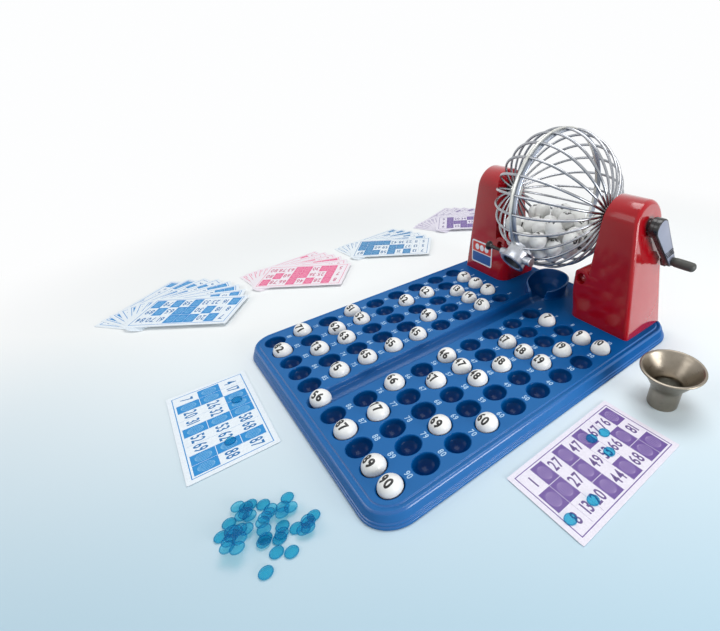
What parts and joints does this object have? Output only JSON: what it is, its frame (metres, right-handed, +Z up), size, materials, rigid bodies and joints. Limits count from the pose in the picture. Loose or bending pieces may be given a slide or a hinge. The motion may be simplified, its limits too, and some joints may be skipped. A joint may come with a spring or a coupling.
{
  "type": "bingo game",
  "caption": "Tabletop bingo game: crank-turned wire drum on two stands over a pocketed ball tray with a centre rail, with funnel, cards and chips.",
  "frame": {"origin": "on the table under the middle of the tray, on the flat underside of the centre rail", "axes": "+Z up, +Y from the player towards the drum, +X to the player's right, where the crank is"},
  "size_m": [0.6867, 0.6767, 0.205],
  "materials": {
    "tray_blue": "satin moulded",
    "stand_red": "gloss moulded",
    "drum_wire": "plated wire",
    "cast_silver": "as cast",
    "bright_steel": "turned",
    "black_plastic": "satin moulded",
    "ball_white": "satin moulded",
    "funnel_grey": "brushed",
    "card_blue": "printed card",
    "card_pink": "printed card",
    "card_purple": "printed card",
    "chip_turquoise": "clear tinted"
  },
  "bodies": {
    "base": {"tray": "tray_blue", "right_stand": "stand_red", "left_stand": "stand_red", "right_bearing": "black_plastic", "left_bearing": "black_plastic", "drum_balls": "ball_white", "funnel": "funnel_grey", "blue_card": "card_blue", "purple_card": "card_purple", "near_blue_fan": "card_blue", "pink_fan": "card_pink", "far_blue_fan": "card_blue", "purple_fan": "card_purple", "chip_pile": "chip_turquoise", "ball_2": "ball_white", "ball_3": "ball_white", "ball_4": "ball_white", "ball_7": "ball_white", "ball_9": "ball_white", "ball_10": "ball_white", "ball_13": "ball_white", "ball_14": "ball_white", "ball_15": "ball_white", "ball_19": "ball_white", "ball_22": "ball_white", "ball_27": "ball_white", "ball_28": "ball_white", "ball_29": "ball_white", "ball_32": "ball_white", "ball_34": "ball_white", "ball_38": "ball_white", "ball_45": "ball_white", "ball_46": "ball_white", "ball_47": "ball_white", "ball_48": "ball_white", "ball_51": "ball_white", "ball_52": "ball_white", "ball_55": "ball_white", "ball_57": "ball_white", "ball_60": "ball_white", "ball_62": "ball_white", "ball_63": "ball_white", "ball_65": "ball_white", "ball_66": "ball_white", "ball_69": "ball_white", "ball_71": "ball_white"},
    "drum": {"right_cage_half": "drum_wire", "left_cage_half": "drum_wire", "cage_band": "drum_wire", "outlet_tube": "cast_silver", "gate_cap": "cast_silver", "right_collar": "drum_wire", "left_collar": "drum_wire", "right_axle": "bright_steel", "left_axle": "bright_steel", "crank_arm": "black_plastic", "grip_pin": "bright_steel"},
    "gate": {"gate_plunger": "black_plastic"},
    "grip": {"crank_grip": "black_plastic"},
    "rail_ball": {"rail_ball": "ball_white"}
  },
  "joints": [
    {"name": "drum_turn", "type": "hinge", "parent": "base", "child": "drum", "pos_m": [0, 0.15554, 0.12806], "axis": [1, 0, 0], "continuous": true},
    {"name": "gate_push", "type": "slide", "parent": "drum", "child": "gate", "axis": [1, 0, 0], "range_m": [0, 0.01]},
    {"name": "grip_spin", "type": "hinge", "parent": "drum", "child": "grip", "pos_m": [0.152, 0.1782, 0.09034], "axis": [1, 0, 0], "continuous": true},
    {"name": "rail_ball_run", "type": "slide", "parent": "base", "child": "rail_ball", "axis": [0, 1, 0], "range_m": [0, 0.29]}
  ]
}
